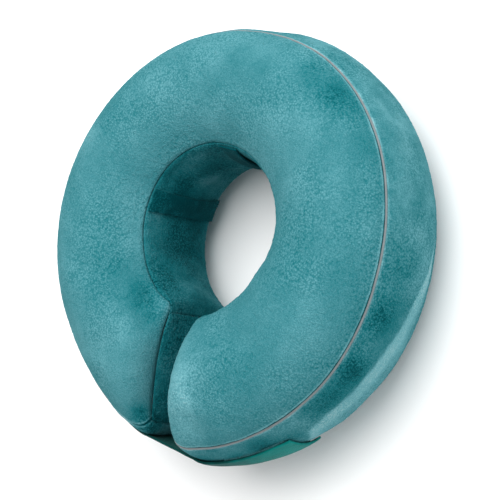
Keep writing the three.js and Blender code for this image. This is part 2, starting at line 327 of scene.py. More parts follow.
def form_at(share):
    """What changes along the ring, at shares of the way from the right end to the left."""
    share = np.asarray(share, float)
    last = len(RING_FORM) - 1
    rows = np.vstack([
        2 * RING_FORM[0] - RING_FORM[1],
        RING_FORM,
        2 * RING_FORM[-1] - RING_FORM[-2],
    ])
    place = clamp(share) * last
    index = np.minimum(place.astype(int), last - 1)
    t = (place - index)[:, None]
    before, start, end, after = (rows[index + step] for step in range(4))
    leave, arrive = (end - before) / 2, (after - start) / 2
    row = (
        start
        + leave * t
        + (3 * (end - start) - 2 * leave - arrive) * t**2
        + (2 * (start - end) + leave + arrive) * t**3
    )
    from_end = np.minimum(share, 1 - share) * RING_LENGTH
    corner = np.where(share < 0.5, RIM_CORNER_RIGHT, RIM_CORNER_LEFT)
    rise = mix(END_FULLNESS, 1, round_over(from_end, END_ROUND))
    return {
        "share": share,
        "rim_move": row[:, 0] * RIM_SEAM_RADIUS - corner * (1 - round_over(from_end, corner)),
        "neck_move": row[:, 1] * NECK_SEAM_RADIUS
        + NECK_CORNER * (1 - round_over(from_end, NECK_CORNER)),
        "rim_top": RIM_WALL_HEIGHT / 2 - RIM_CORNER_DROP * (1 - round_over(from_end, END_ROUND)),
        "crown": rise * (1 + row[:, 2]) * CROWN / CURVE_RISE,
        "bulge": rise / CURVE_RISE,
    }


def side_points(side, form, along):
    """Radius and height of points along one side of each section."""
    rim_top, crown, bulge = form["rim_top"], form["crown"], form["bulge"]
    neck_top = np.full_like(rim_top, NECK_WALL_HEIGHT / 2)
    neck = np.full_like(rim_top, NECK_SEAM_RADIUS)
    rim = np.full_like(rim_top, RIM_SEAM_RADIUS)
    back_rim = rim - BACK_RIM_INSET
    outwards, inwards = RIM_BULGE * bulge, NECK_BULGE * bulge
    corners = {
        "front": [
            (neck, neck_top),
            (neck + NECK_SHOULDER, neck_top + crown),
            (rim - RIM_SHOULDER, rim_top + crown),
            (rim, rim_top),
        ],
        "rim": [
            (rim, rim_top),
            (rim + outwards, rim_top / 2),
            (back_rim + outwards, -rim_top / 2),
            (back_rim, -rim_top),
        ],
        "back": [
            (back_rim, -rim_top),
            (back_rim - RIM_SHOULDER, -rim_top - crown),
            (neck + NECK_SHOULDER, -neck_top - crown),
            (neck, -neck_top),
        ],
        "neck": [
            (neck, -neck_top),
            (neck - inwards, -neck_top / 2),
            (neck - inwards, neck_top / 2),
            (neck, neck_top),
        ],
    }[side]
    t = np.asarray(along, float)
    weights = ((1 - t) ** 3, 3 * t * (1 - t) ** 2, 3 * t**2 * (1 - t), t**3)
    radius = sum(c[0][:, None] * w for c, w in zip(corners, weights))
    height = sum(c[1][:, None] * w for c, w in zip(corners, weights))
    return radius, height


def rest_height():
    """The plane that the back panel rests on: its crown, less what the weight flattens."""
    form = form_at([0.5])
    form["crown"] = np.array([CROWN / CURVE_RISE])
    depths = -side_points("back", form, np.linspace(0, 1, 17))[1]
    return REST_FLATTENING - depths.max()


REST_HEIGHT = rest_height()


def angle_at(share, radius):
    end_angle = np.arcsin(SPLIT_GAP / 2 / radius)
    return mix(end_angle, FULL_TURN - end_angle, share) - QUARTER_TURN


def share_at(angle, radius):
    end_angle = math.asin(SPLIT_GAP / 2 / radius)
    return (angle + QUARTER_TURN - end_angle) / (FULL_TURN - 2 * end_angle)


def place_points(radius, height, form):
    """Points of sections in space, in millimetres round the neck axis."""
    outward = clamp((radius - NECK_SEAM_RADIUS) / (RIM_SEAM_RADIUS - NECK_SEAM_RADIUS))
    moved = radius + mix(form["neck_move"][:, None], form["rim_move"][:, None], outward)
    angle = angle_at(form["share"][:, None], moved)
    flattened = np.maximum(height, REST_HEIGHT)
    return np.stack([moved * np.cos(angle), moved * np.sin(angle), flattened], -1)


def side_places(side, shares, along):
    form = form_at(shares)
    return place_points(*side_points(side, form, along), form)


def end_places(share, across, up, pillow):
    """A padded end: a patch between the four sides of the section there, pillowed."""
    ends = {side: side_places(side, [share], np.asarray(t))[0] for side, t in (
        ("front", across), ("rim", 1 - up), ("back", 1 - across), ("neck", up))}
    s, t = across[:, None, None], up[None, :, None]
    top, bottom = ends["front"][:, None], ends["back"][:, None]
    inner, outer = ends["neck"][None], ends["rim"][None]
    places = bottom * (1 - t) + top * t + inner * (1 - s) + outer * s
    places = places - bottom[:1] * (1 - s) * (1 - t) - bottom[-1:] * s * (1 - t)
    places = places - top[:1] * (1 - s) * t - top[-1:] * s * t
    rise = np.sqrt(np.sin(math.pi * clamp(s)) * np.sin(math.pi * clamp(t)) + 1e-12)
    places[..., 0] += pillow * rise[..., 0]
    return places


def spread_steps(steps, evenness):
    """Parameters from 0 to 1 that lie closer together towards both ends."""
    even = np.linspace(0, 1, steps + 1)
    return mix(0.5 - 0.5 * np.cos(math.pi * even), even, evenness)


def station_shares(rounding, ring):
    """Shares along the ring: close together where the ends round over, then even."""
    round_share = END_ROUND / RING_LENGTH
    turn = np.arange(rounding) / rounding * QUARTER_TURN
    foot = round_share * (1 - np.cos(turn))
    middle = np.linspace(round_share, 1 - round_share, ring + 1)
    return np.concatenate([foot, middle, (1 - foot)[::-1]])


def cover_grids(shares, panel_steps, wall_steps):
    """Grids of points for the six panels, each with its faces turned outwards."""
    across, up = panel_steps, wall_steps
    steps = {"front": across, "rim": up, "back": across, "neck": up}
    grids = {side: side_places(side, shares, steps[side]) for side in SIDES}
    grids["left"] = end_places(shares[-1], across, up, END_PILLOW)
    grids["right"] = end_places(shares[0], across, up, -END_PILLOW)[:, ::-1]
    return grids


def grid_mesh(name, places, cloth_uv=True, weld=0.0):
    """A mesh of quads on a grid of points given in millimetres round the neck axis."""
    rows, columns = places.shape[:2]
    bm = bmesh.new()
    bmesh.ops.create_grid(bm, x_segments=columns - 1, y_segments=rows - 1, size=1)
    mesh = bpy.data.meshes.new(name)
    bm.to_mesh(mesh)
    bm.free()
    world = (places + np.array(NECK_AXIS)) * MM
    mesh.vertices.foreach_set("co", world.reshape(-1).astype(np.float32))
    if cloth_uv:
        row_steps = np.linalg.norm(np.diff(world, axis=0), axis=-1).mean(1)
        column_steps = np.linalg.norm(np.diff(world, axis=1), axis=-1).mean(0)
        v = np.concatenate([[0], np.cumsum(row_steps)])
        u = np.concatenate([[0], np.cumsum(column_steps)])
        uv = np.stack(np.meshgrid(u, v), -1).reshape(-1, 2)
        corners = np.zeros(len(mesh.loops), np.int32)
        mesh.loops.foreach_get("vertex_index", corners)
        layer = mesh.uv_layers.new(name="cloth")
        layer.data.foreach_set("uv", uv[corners].reshape(-1).astype(np.float32))
    if weld:
        bm = bmesh.new()
        bm.from_mesh(mesh)
        bmesh.ops.remove_doubles(bm, verts=bm.verts, dist=weld * MM)
        bm.to_mesh(mesh)
        bm.free()
    mesh.shade_smooth()
    return mesh


def add_piece(name, mesh, material, slot_name, *nodes):
    """Links a piece, rides it on the one body and lets it stand for its CAD nodes."""
    piece = bpy.data.objects.new(name, mesh)
    bpy.context.scene.collection.objects.link(piece)
    piece.data.materials.append(material)
    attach(piece, "root")
    if nodes:
        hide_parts(*nodes)
    return piece


def add_wall(piece, thickness, edge=0.0):
    """Gives a sheet its thickness inwards, with its cut edge rounded over."""
    solidify = piece.modifiers.new("Wall", "SOLIDIFY")
    solidify.thickness = thickness * MM
    solidify.offset = -1
    if edge:
        bevel = piece.modifiers.new("Edge", "BEVEL")
        bevel.width = edge * MM
        bevel.segments = 2
        bevel.limit_method = "ANGLE"


# Materials


class Shader:
    """A short way to write a material's nodes."""

    def __init__(self, name):
        self.material = bpy.data.materials.new(name)
        self.material.use_nodes = True
        self.tree = self.material.node_tree
        self.surface = self.tree.nodes["Principled BSDF"]

    def put(self, kind, inputs, output=0, **settings):
        node = self.tree.nodes.new(kind)
        for key, value in settings.items():
            setattr(node, key, value)
        self.feed(node, inputs)
        return node.outputs[output]

    def feed(self, node, inputs):
        for key, value in inputs.items():
            if isinstance(value, bpy.types.NodeSocket):
                self.tree.links.new(value, node.inputs[key])
            else:
                node.inputs[key].default_value = value

    def set(self, **inputs):
        self.feed(self.surface, {key.replace("_", " "): v for key, v in inputs.items()})

    def object_place(self):
        return self.put("ShaderNodeTexCoord", {}, "Object")

    def cloth_place(self, stretch=(1, 1, 1), turn=0.0):
        place = self.put("ShaderNodeUVMap", {}, uv_map="cloth")
        turned = (0, 0, math.radians(turn))
        return self.put(
            "ShaderNodeMapping", {"Vector": place, "Scale": stretch, "Rotation": turned})

    def noise(self, place, grain, detail=2.0, roughness=0.5, distortion=0.0):
        """Noise with features about one grain across, in millimetres."""
        return self.put(
            "ShaderNodeTexNoise",
            {
                "Vector": place,
                "Scale": 1 / (grain * MM),
                "Detail": detail,
                "Roughness": roughness,
                "Distortion": distortion,
            },
        )

    def cells(self, place, grain):
        return self.put(
            "ShaderNodeTexVoronoi", {"Vector": place, "Scale": 1 / (grain * MM)}, "Distance")

    def math(self, operation, first, second=0.0, limit=False):
        return self.put(
            "ShaderNodeMath", {0: first, 1: second}, operation=operation, use_clamp=limit)

    def stretch(self, value, low, high, to_low=0.0, to_high=1.0):
        return self.put("ShaderNodeMapRange", {
            "Value": value,
            "From Min": low,
            "From Max": high,
            "To Min": to_low,
            "To Max": to_high,
        })

    def ramp(self, value, *stops):
        node = self.tree.nodes.new("ShaderNodeValToRGB")
        self.tree.links.new(value, node.inputs["Fac"])
        marks = node.color_ramp.elements
        while len(marks) < len(stops):
            marks.new(0.5)
        for mark, (position, color) in zip(marks, stops):
            mark.position = position
            mark.color = (*color, 1)
        return node.outputs["Color"]

    def bump(self, height, distance, strength=1.0, below=None):
        inputs = {"Height": height, "Distance": distance * MM, "Strength": strength}
        if below is not None:
            inputs["Normal"] = below
        return self.put("ShaderNodeBump", inputs)


def plush_material(name, colors):
    """Short plush pile: fine lit tips over a deep ground, brushed this way and that, and painted
    light and shade from each panel's marks.
    """
    shader = Shader(name)
    place = shader.object_place()
    nap = shader.noise(place, 60, 3, 0.5, 0.5)
    drift = shader.noise(place, 20, 2, 0.5, 0.3)
    lay = shader.noise(place, 2.8, 2, 0.6)
    tuft = shader.math("SUBTRACT", 1.0, shader.cells(place, 1.45))
    fibre = shader.noise(place, 0.7, 2, 0.7)
    # The tufts stand out in loose patches and vanish where the pile lies close
    loose = shader.stretch(shader.noise(place, 42, 1), 0.4, 0.6, 0.2, 1.0)
    loose_tuft = shader.math(
        "MULTIPLY", shader.stretch(tuft, 0.2, 0.8, -0.13, 0.13), loose)
    # Marks of each panel: its nap, painted light and painted shade
    light_and_shade_marks = shader.put("ShaderNodeAttribute", {}, "Fac", attribute_name="nap")
    shade = shader.math("MULTIPLY", light_and_shade_marks, 0.33)
    for part, low, reach in ((nap, 0.35, 0.06), (drift, 0.3, 0.035), (lay, 0.3, 0.03)):
        shade = shader.math("ADD", shade, shader.stretch(part, low, 1 - low, -reach, reach))
    shade = shader.math("ADD", shade, loose_tuft)
    shade = shader.math("ADD", shade, shader.stretch(fibre, 0.3, 0.7, -0.12, 0.12))
    # Besides the pile's own tones, the dark and deep stops colour painted shade, and the light
    # and palest ones painted highlights
    color = shader.ramp(
        shader.math("ADD", shade, 0.42, True),
        (0.0, colors.plush_dark),
        (0.2, colors.plush_deep),
        (0.42, colors.plush_mid),
        (0.75, colors.plush_light),
        (1.0, colors.plush_lint_and_highlight),
    )
    pile = shader.bump(nap, 6, 0.2)
    pile = shader.bump(drift, 2, 0.15, pile)
    pile = shader.bump(lay, 1.0, 0.3, pile)
    pile = shader.bump(tuft, 0.7, 0.5, pile)
    pile = shader.bump(fibre, 0.7, 0.8, pile)
    shader.set(
        Base_Color=color,
        Roughness=0.9,
        Specular_IOR_Level=0.02,
        Sheen_Weight=0.07,
        Sheen_Roughness=0.35,
        Sheen_Tint=(0.4, 0.95, 1, 1),
        Normal=pile,
    )
    return shader.material


def strap_material(color):
    """Smooth brushed knit: fine ribs and long streaks along the cloth."""
    shader = Shader("strap_cloth")
    ribs = shader.put(
        "ShaderNodeTexWave",
        {"Vector": shader.cloth_place(), "Scale": 1 / (2.24 * MM), "Distortion": 1.2,
         "Detail": 2.0, "Detail Scale": 2.0},
        "Fac",
    )
    streak = shader.noise(shader.cloth_place((1, 0.2, 1)), 2.4, 3, 0.55)
    broad = shader.noise(shader.object_place(), 16, 2)
    # Marks of painted shadow, darker towards the split where the collar's ends shade the strap
    light_and_shade_marks = shader.put("ShaderNodeAttribute", {}, "Fac", attribute_name="nap")
    shade = shader.math("ADD", shader.stretch(streak, 0.3, 0.7, -0.14, 0.14), 0.5)
    shade = shader.math("ADD", shade, shader.math("MULTIPLY", light_and_shade_marks, 0.5))
    shade = shader.math("ADD", shade, shader.stretch(broad, 0.3, 0.7, -0.07, 0.07))
    shade = shader.math("ADD", shade, shader.stretch(ribs, 0, 1, -0.08, 0.08), True)
    base = Vector(color)
    # The darkest stop colours the painted shadow by the split
    tone = shader.ramp(shade, (0.0, base * 0.25), (0.5, base), (0.9, base * 1.4))
    lay = shader.bump(streak, 0.35, 0.5)
    lay = shader.bump(ribs, 0.18, 0.5, lay)
    shader.set(
        Base_Color=tone,
        Roughness=0.72,
        Specular_IOR_Level=0.08,
        Sheen_Weight=0.08,
        Sheen_Roughness=0.4,
        Sheen_Tint=(0.4, 0.95, 0.92, 1),
        Normal=lay,
    )
    return shader.material


def piping_material(color):
    """Satin-covered cord: fine slanting threads with a little grey variation."""
    shader = Shader("piping_cord")
    threads = shader.put(
        "ShaderNodeTexWave",
        {"Vector": shader.cloth_place((1, 1, 1), 32), "Scale": 1 / (3.1 * MM),
         "Distortion": 0.6, "Detail": 1.0},
        "Fac",
    )
    soil = shader.noise(shader.object_place(), 9, 3, 0.6)
    shade = shader.math("ADD", shader.stretch(soil, 0.3, 0.7, 0.3, 0.7),
                        shader.stretch(threads, 0, 1, -0.1, 0.1), True)
    base = Vector(color)
    tone = shader.ramp(shade, (0.1, base * 0.72), (0.5, base), (0.9, base * 1.22))
    shader.set(
        Base_Color=tone,
        Roughness=shader.stretch(soil, 0.3, 0.7, 0.42, 0.6),
        Specular_IOR_Level=0.45,
        Sheen_Weight=0.15,
        Normal=shader.bump(threads, 0.12, 0.6),
    )
    return shader.material


def hook_material(color):
    """Hook tape: small stiff hooks close together, with a little dust."""
    shader = Shader("hook_tape")
    place = shader.object_place()
    hooks = shader.cells(place, 1.3)
    dust = shader.noise(place, 6, 3)
    base = Vector(color)
    tone = shader.ramp(
        shader.math("ADD", hooks, shader.stretch(dust, 0.3, 0.7, -0.1, 0.1), True),
        (0.05, base * 1.6), (0.5, base), (0.9, base * 0.5))
    shader.set(
        Base_Color=tone,
        Roughness=0.75,
        Specular_IOR_Level=0.15,
        Normal=shader.bump(shader.math("SUBTRACT", 1.0, hooks), 0.5, 0.8),
    )
    return shader.material


def film_material(color):
    """Soft inflatable film with a faint haze and small creases."""
    shader = Shader("chamber_film")
    place = shader.object_place()
    creases = shader.noise(place, 14, 4, 0.6, 0.8)
    haze = shader.noise(place, 40, 2)
    base = Vector(color)
    tone = shader.ramp(haze, (0.3, base * 0.9), (0.7, base))
    shader.set(
        Base_Color=tone,
        Roughness=shader.stretch(creases, 0.3, 0.7, 0.2, 0.42),
        Normal=shader.bump(creases, 0.9, 0.4),
    )
    return shader.material


def floor_material(color):
    shader = Shader("studio_floor")
    shader.set(Base_Color=(*color, 1), Roughness=0.9, Specular_IOR_Level=0.1)
    return shader.material


# How the inflated cloth moves off the sewn shape


class Inflation:
    """The way each point of the cover moves as it is blown up, read at any place."""

    def __init__(self):
        self.tree = None
        self.moves = None

    def keep(self, places, moves):
        """Keeps how each of some places moves."""
        self.moves = moves
        self.tree = kdtree.KDTree(len(places))
        for index, place in enumerate(places):
            self.tree.insert(place, index)
        self.tree.balance()

    def read(self, places):
        """The move at each place, in millimetres: a smooth mean of the nearest points."""
        if self.tree is None:
            return np.zeros_like(places)
        flat = places.reshape(-1, 3)
        moved = np.empty_like(flat)
        for row, place in enumerate(flat):
            near = self.tree.find_n(place, SWELL_POINTS)
            weights = np.array([
                math.exp(-(found[2] / SWELL_SPREAD) ** 2) + 1e-9 for found in near])
            indices = [found[1] for found in near]
            moved[row] = weights @ self.moves[indices] / weights.sum()
        return moved.reshape(places.shape)


inflation = Inflation()


def even_out(moves, edges, rounds):
    """Takes the move of each point part of the way to the mean of its neighbours."""
    counts = np.bincount(edges.reshape(-1), minlength=len(moves))[:, None]
    for _ in range(rounds):
        sums = np.zeros_like(moves)
        np.add.at(sums, edges[:, 0], moves[edges[:, 1]])
        np.add.at(sums, edges[:, 1], moves[edges[:, 0]])
        moves = (moves + sums / np.maximum(counts, 1)) / 2
    return moves


def sew_blank():
    """A coarse closed cover to blow up, with the points of its seams in the group held."""
    bm = bmesh.new()
    across = np.linspace(0, 1, BLANK_PANEL_STEPS + 1)
    up = np.linspace(0, 1, BLANK_WALL_STEPS + 1)
    for places in cover_grids(station_shares(*BLANK_STATIONS), across, up).values():
        mesh = grid_mesh("blank", places, cloth_uv=False)
        bm.from_mesh(mesh)
        bpy.data.meshes.remove(mesh)
    held = bm.verts.layers.deform.verify()
    for vert in bm.verts:
        vert[held][0] = 1.0 if vert.is_boundary else 0.0
    bmesh.ops.remove_doubles(bm, verts=bm.verts, dist=0.1 * MM)
    mesh = bpy.data.meshes.new("blank")
    bm.to_mesh(mesh)
    bm.free()
    blank = bpy.data.objects.new("blank", mesh)
    bpy.context.scene.collection.objects.link(blank)
    blank.vertex_groups.new(name="held")
    return blank


def add_cloth(blank, pressure, slack):
    """Makes the blank a cloth that is held along its seams and blown up from inside."""
    settings = blank.modifiers.new("Cloth", "CLOTH").settings
    settings.quality = 6
    settings.mass = 0.15
    settings.tension_stiffness = 20
    settings.compression_stiffness = 20
    settings.shear_stiffness = 8
    settings.bending_stiffness = 0.4
    settings.use_pressure = True
    settings.uniform_pressure_force = pressure
    settings.effector_weights.gravity = 0
    settings.vertex_group_mass = "held"
    settings.pin_stiffness = 1
    settings.shrink_min = -slack


def point_places(mesh):
    """The points of a mesh, in millimetres round the neck axis."""
    flat = np.zeros(len(mesh.vertices) * 3, np.float32)
    mesh.vertices.foreach_get("co", flat)
    return flat.reshape(-1, 3) / MM - np.array(NECK_AXIS)


def inflate(pressure, slack, limit):
    """Blows the sewn cover up and keeps how its points move, each no further than a limit."""
    blank = sew_blank()
    add_cloth(blank, pressure, slack)
    scene = bpy.context.scene
    for number in range(1, BLOW_UP_FRAMES + 1):
        scene.frame_set(number)
    graph = bpy.context.evaluated_depsgraph_get()
    blown = blank.evaluated_get(graph).to_mesh()
    mesh = blank.data
    start = point_places(mesh)
    moves = point_places(blown) - start
    lengths = np.linalg.norm(moves, axis=1, keepdims=True)
    moves *= np.minimum(1, limit / np.maximum(lengths, 1e-9))
    ends = np.zeros(len(mesh.edges) * 2, np.int32)
    mesh.edges.foreach_get("vertices", ends)
    inflation.keep(start, even_out(moves, ends.reshape(-1, 2), EVEN_OUT_ROUNDS))
    scene.frame_set(1)
    bpy.data.objects.remove(blank)
    bpy.data.meshes.remove(mesh)


def surface_normals(places):
    along = np.gradient(places, axis=0)
    across = np.gradient(places, axis=1)
    normals = np.cross(across, along)
    return normals / np.maximum(np.linalg.norm(normals, axis=-1, keepdims=True), 1e-9)


def seam_distances(places):
    """Distance of each point of a grid from its four edges, in millimetres."""
    columns = np.linalg.norm(np.diff(places, axis=1), axis=-1)
    rows = np.linalg.norm(np.diff(places, axis=0), axis=-1)
    across = np.pad(np.cumsum(columns, 1), ((0, 0), (1, 0)))
    along = np.pad(np.cumsum(rows, 0), ((1, 0), (0, 0)))
    return across, across[:, -1:] - across, along, along[-1:] - along


def wave_noise(places, grain, seed=0.0):
    flat = places.reshape(-1, 3) / grain + seed
    values = np.array([noise.noise(point) for point in flat])
    return values.reshape(places.shape[:2])


def towards_core(places):
    """Unit directions from the cover to the middle line of the ring's tube."""
    planar = np.linalg.norm(places[..., :2], axis=-1, keepdims=True)
    middle = (RIM_SEAM_RADIUS + NECK_SEAM_RADIUS) / 2
    core = np.concatenate([places[..., :2] / planar * middle, 0 * planar], -1)
    way = core - places
    return way / np.linalg.norm(way, axis=-1, keepdims=True)


def near_marks(places, marks):
    """The sum of soft round marks, each with a place, a spread and a strength."""
    total = np.zeros(places.shape[:2])
    for angle, radius, height, spread, strength in marks:
        turn = math.radians(angle)
        centre = np.array((radius * math.cos(turn), radius * math.sin(turn), height))
        distance = np.linalg.norm(places - centre, axis=-1)
        total += strength * np.exp(-((distance / spread) ** 2))
    return total


def nap_and_painted_shades(places, side):
    """Where the pile is darker or lighter than the rest: partly its nap, partly painted light
    and shade.
    """
    ragged = sum(wave_noise(places, grain, seed) * strength for grain, seed, strength in RAGGED)
    shades = near_marks(places, NAP_AND_PAINTED_LIGHT_MARKS) * (1 + ragged) + PANEL_NAP_AND_PAINTED_LIGHT[side]
    shades += ragged * MOTTLES[side]
    shades = np.clip(shades, DARKEST_SHADE, LIGHTEST_SHADE)
    # Beside the piping: a painted highlight on the pale rolled edges, and on the front panel the
    # painted shadow of the seam's groove
    if side in ("front", "rim"):
        distance = seam_distances(places)[1 if side == "front" else 0]
        lint_highlight_distance = LINT_HIGHLIGHT_DISTANCE + (GROOVE_DISTANCE if side == "front" else 0)
        lint_highlight = np.exp(-(((distance - lint_highlight_distance) / LINT_HIGHLIGHT_SPREAD) ** 2))
        groove = np.exp(-(((distance - GROOVE_DISTANCE) / GROOVE_WIDTH) ** 2))
        groove *= side == "front"
        shades = shades + LINT_HIGHLIGHT_SHADE * lint_highlight * (1 + ragged) + GROOVE_SHADE * groove
    # Painted sheen highlight on the lower rim wall near the right end
    if side == "rim":
        angle = np.degrees(np.arctan2(places[..., 1], places[..., 0]))
        waver = wave_noise(places, SHEEN_BAND_WAVER_GRAIN, 8.0) * SHEEN_BAND_WAVER
        below = np.interp(angle, *SHEEN_BAND_EDGE.T) + waver - places[..., 2]
        fade = clamp(below / SHEEN_BAND_REACH - SHEEN_BAND_FADE_START) * SHEEN_BAND_FADE
        share = clamp(below / SHEEN_BAND_SOFTNESS) * np.exp(-fade)
        inside = (angle > SHEEN_BAND_EDGE[0, 0]) & (angle < SHEEN_BAND_EDGE[-1, 0])
        shades = mix(shades, SHEEN_BAND_SHADE, share * inside)
    return shades


def sewn_panel(places, side, cover):
    """A cover panel as sewn and blown up: rolled in at its seams, with small gathers."""
    places = places + inflation.read(places)
    normals = surface_normals(places)
    places = places - normals * near_marks(places, DENTS)[..., None]
    distances = seam_distances(places)
    nearest = np.minimum.reduce([
        distance + (FLAT_SEAM if index in FLAT_SEAMS.get(side, ()) else 0)
        for index, distance in enumerate(distances)
    ])
    roll = cover.seam_depth / MM * (1 - round_over(nearest, cover.seam_roll / MM))
    gathers = wave_noise(places * (1, 1, 0.35), GATHER_GRAIN, 11.0)
    gathers *= np.exp(-nearest / GATHER_REACH)
    gathers *= clamp(nearest / GATHER_START) * cover.gathers / MM
    tufts = wave_noise(places, TUFT_GRAIN, 3.0) * cover.tuft_height / MM
    tufts *= clamp(nearest / TUFT_START)
    places = places + towards_core(places) * roll[..., None]
    places = places + normals * (gathers + tufts)[..., None]
    places[..., 2] = np.maximum(places[..., 2], REST_HEIGHT)
    return places


def set_point_value(mesh, name, values):
    attribute = mesh.attributes.new(name, "FLOAT", "POINT")
    attribute.data.foreach_set("value", values.reshape(-1).astype(np.float32))


# Settings


class CollarCoverSettings(bpy.types.PropertyGroup):
    """Sizes and colours of the plush cover."""

    # Pile colours: besides the pile's own tones, the dark and deep ones colour painted shade,
    # and the light and palest ones painted highlights
    plush_light: FloatVectorProperty(
        name="Light pile", description="Colour of the raised pile", subtype="COLOR",
        default=(0.13, 0.345, 0.385), min=0, max=1)
    plush_lint_and_highlight: FloatVectorProperty(
        name="Worn pile", description="Colour of the palest worn tips", subtype="COLOR",
        default=(0.30, 0.48, 0.51), min=0, max=1)
    plush_mid: FloatVectorProperty(
        name="Pile", description="Main colour of the pile", subtype="COLOR",
        default=(0.046, 0.198, 0.226), min=0, max=1)
    plush_dark: FloatVectorProperty(
        name="Dark pile", description="Colour of pile brushed away from the light",
        subtype="COLOR", default=(0.0, 0.05, 0.06), min=0, max=1)
    plush_deep: FloatVectorProperty(
        name="Deep pile", description="Colour of the ground between the tips",
        subtype="COLOR", default=(0.007, 0.13, 0.15), min=0, max=1)
    wall: FloatProperty(
        name="Wall", description="Thickness of the plush with its backing", unit="LENGTH",
        default=0.0022, min=0.0005)
    seam_depth: FloatProperty(
        name="Seam depth", description="How deep the panels turn in at a seam",
        unit="LENGTH", default=0.0016, min=0)
    seam_roll: FloatProperty(
        name="Seam roll", description="How far from a seam the pile starts to turn in",
        unit="LENGTH", default=0.0035, min=0.0005)
    gathers: FloatProperty(
        name="Gathers", description="Height of the small gathers beside the seams",
        unit="LENGTH", default=0.0003, min=0)
    tuft_height: FloatProperty(
        name="Tufts", description="Unevenness of the pile's tips", unit="LENGTH",
        default=0.0003, min=0)
    pressure: FloatProperty(
        name="Air pressure", description="How hard the cover is blown up", default=4.0, min=0)
    slack: FloatProperty(
        name="Slack", description="Share by which the cloth is larger than its shape",
        default=0.015, min=0, max=0.2)
    swell_limit: FloatProperty(
        name="Largest swell", description="How far the air may move a point of the cover",
        unit="LENGTH", default=0.005, min=0)


class CollarTrimSettings(bpy.types.PropertyGroup):
    """Sizes and colours of the piping, the closure and the air chamber."""

    cord_color: FloatVectorProperty(
        name="Cord", description="Colour of the piping", subtype="COLOR",
        default=(0.15, 0.18, 0.19), min=0, max=1)
    cord_radius: FloatProperty(
        name="Cord radius", description="Radius of the piping", unit="LENGTH",
        default=0.00072, min=0.0005)
    strap_color: FloatVectorProperty(
        name="Strap", description="Colour of the closure strap", subtype="COLOR",
        default=(0.0, 0.165, 0.148), min=0, max=1)
    hook_color: FloatVectorProperty(
        name="Hook tape", description="Colour of the hook tape", subtype="COLOR",
        default=(0.02, 0.10, 0.11), min=0, max=1)
    film_color: FloatVectorProperty(
        name="Film", description="Colour of the air chamber", subtype="COLOR",
        default=(0.70, 0.74, 0.76), min=0, max=1)


class CollarStageSettings(bpy.types.PropertyGroup):
    """The camera, the lights and the floor."""

    tilt: FloatProperty(
        name="Tilt", description="Angle of the view from the neck axis", subtype="ANGLE",
        default=math.radians(40.55))
    bearing: FloatProperty(
        name="Bearing", description="Side that the camera looks from, round the neck axis",
        subtype="ANGLE", default=math.radians(5.05))
    roll: FloatProperty(
        name="Roll", description="Turn of the picture", subtype="ANGLE",
        default=math.radians(24.41))
    turn: FloatProperty(
        name="Turn", description="Turn of the collar on the floor in the picture",
        subtype="ANGLE", default=math.radians(4.5))
    distance: FloatProperty(
        name="Distance", description="From the neck axis to the camera", unit="LENGTH",
        default=0.93919, min=0.1)
    side_step: FloatProperty(
        name="Side step", description="How far the collar stands beside the view's axis",
        unit="LENGTH", default=-0.00341)
    focal_length: FloatProperty(
        name="Focal length", description="Lens in millimetres on a 36 mm sensor",
        default=97.88, min=1)
    frame_shift: FloatVectorProperty(
        name="Frame shift", description="Shift of the frame as shares of its side", size=2,
        default=(0.0181, -0.0201))
    floor_color: FloatVectorProperty(
        name="Floor", description="Colour of the floor", subtype="COLOR",
        default=(0.94, 0.94, 0.94), min=0, max=1)
    key_power: FloatProperty(
        name="Key light", description="Power of the main light in watts", default=30.0, min=0)
    fill_power: FloatProperty(
        name="Fill light", description="Power of the fill light in watts", default=3.0, min=0)
    sky: FloatProperty(
        name="Room light", description="Strength of the even light all round", default=0.64,
        min=0)


# Operators


